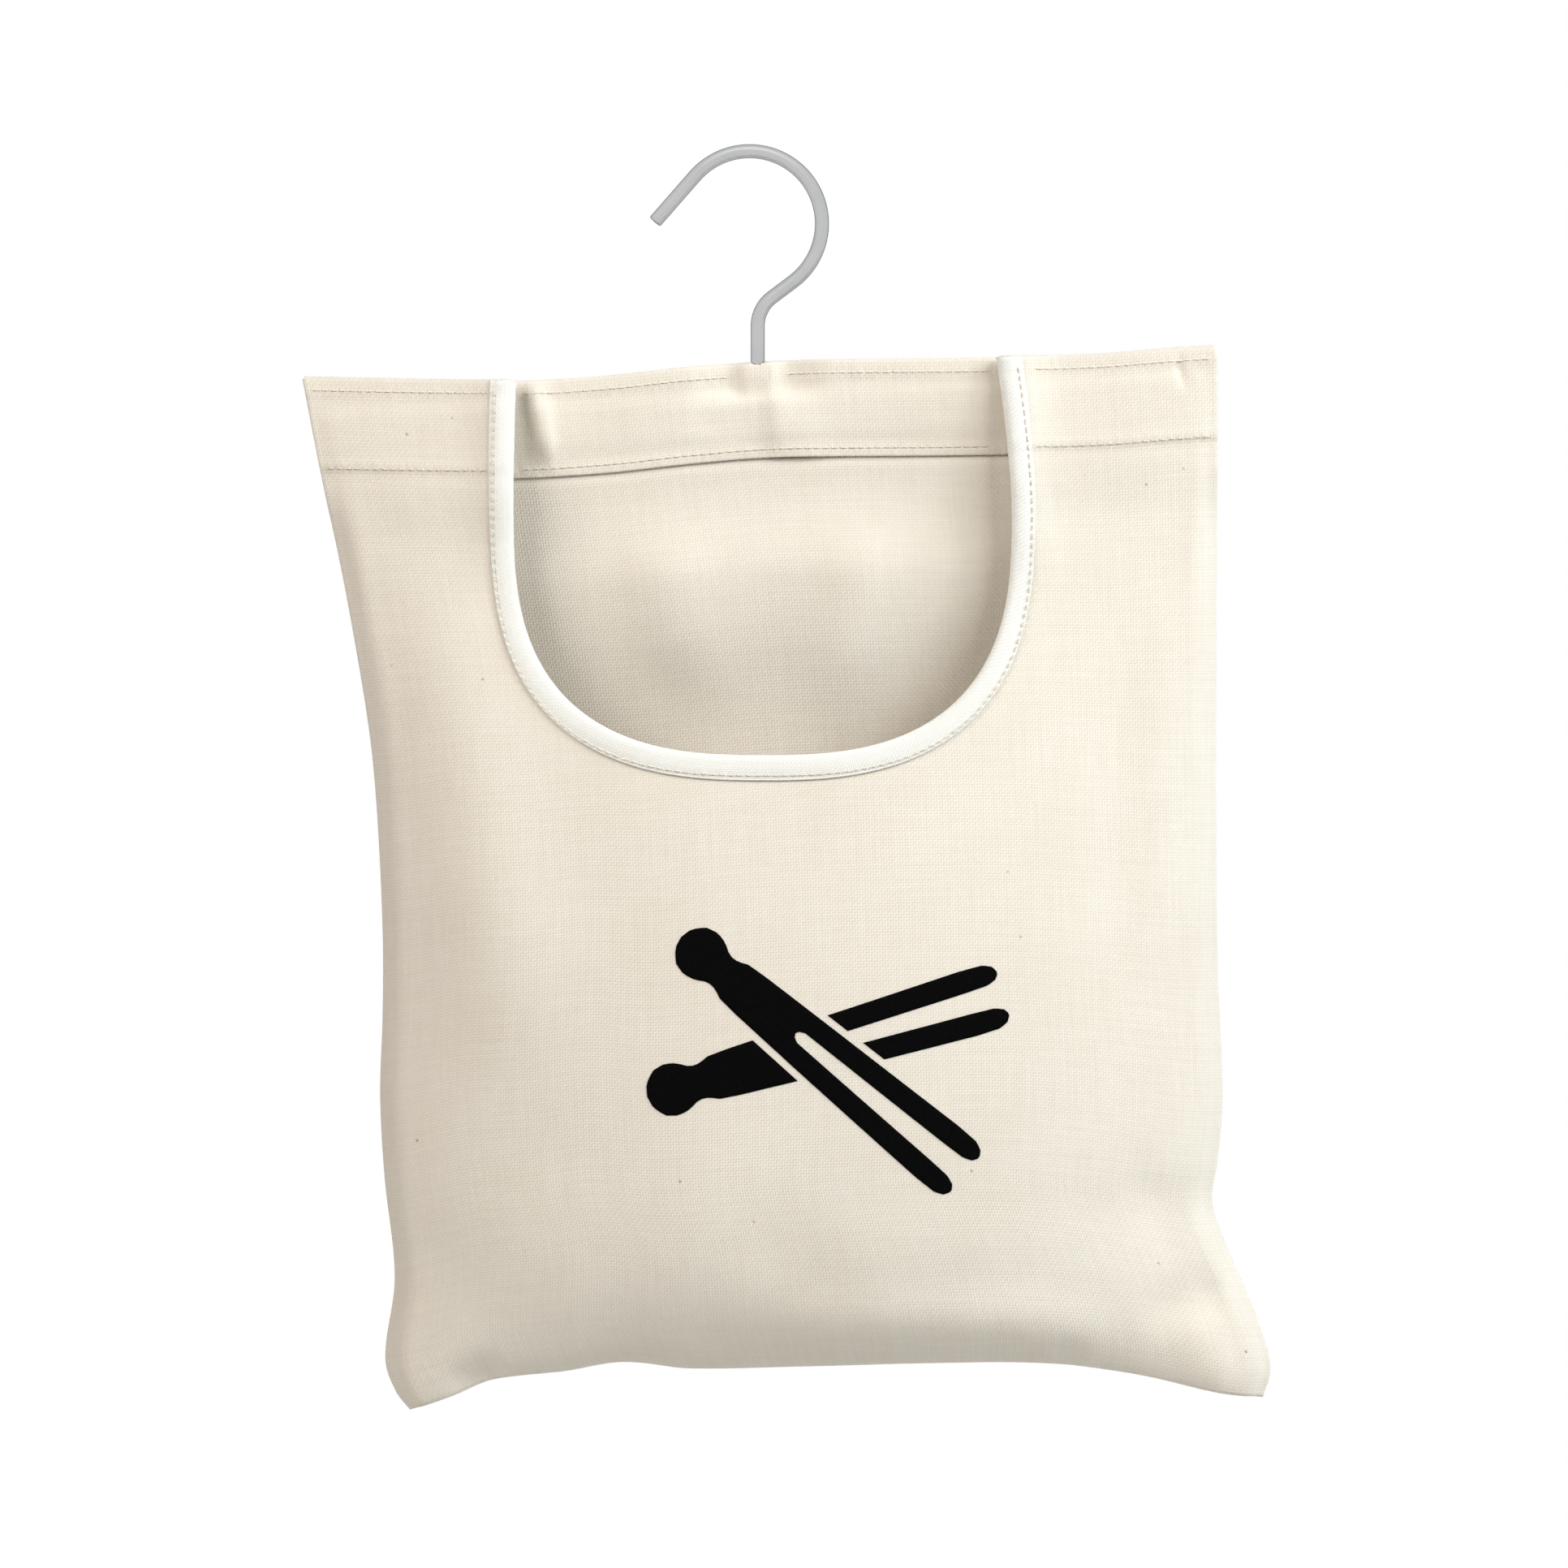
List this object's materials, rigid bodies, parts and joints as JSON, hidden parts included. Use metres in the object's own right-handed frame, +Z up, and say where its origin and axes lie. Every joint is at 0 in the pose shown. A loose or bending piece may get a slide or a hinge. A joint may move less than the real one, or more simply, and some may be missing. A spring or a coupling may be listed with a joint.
{
  "type": "peg bag",
  "caption": "Canvas pouch for clothes pegs with a bound U-shaped mouth, hung from a swivelling steel hook through a wooden bar.",
  "frame": {"origin": "underside of the hook's crown at its middle, where a washing line or rail carries the bag", "axes": "+Z up, +X to the right along the bar seen from the front, -Y out of the front panel"},
  "size_m": [0.3301, 0.0671, 0.433],
  "materials": {
    "plated_steel": "bright nickel-plated wire",
    "beech": "plain planed beech",
    "canvas": "undyed natural cotton canvas, plain weave",
    "binding_tape": "off-white cotton tape",
    "thread": "natural cotton sewing thread"
  },
  "bodies": {
    "hook": {"hook": "plated_steel", "hook_washer": "plated_steel"},
    "bag": {"hanger_bar": "beech", "back_panel": "canvas", "front_panel": "canvas", "opening_binding": "binding_tape", "left_shoulder_top_stitching": "thread", "right_shoulder_top_stitching": "thread", "left_shoulder_hem_stitching": "thread", "right_shoulder_hem_stitching": "thread", "left_casing_top_stitching": "thread", "right_casing_top_stitching": "thread", "casing_stitching": "thread", "left_back_top_stitching": "thread", "right_back_top_stitching": "thread", "back_casing_stitching": "thread", "binding_stitching": "thread", "left_seam_overlock": "thread", "right_seam_overlock": "thread", "bottom_seam_overlock": "thread"}
  },
  "joints": [
    {"name": "hook_swivel", "type": "hinge", "parent": "hook", "child": "bag", "pos_m": [0.0028, 0, -0.0915], "axis": [0, 0, 1], "continuous": true}
  ]
}
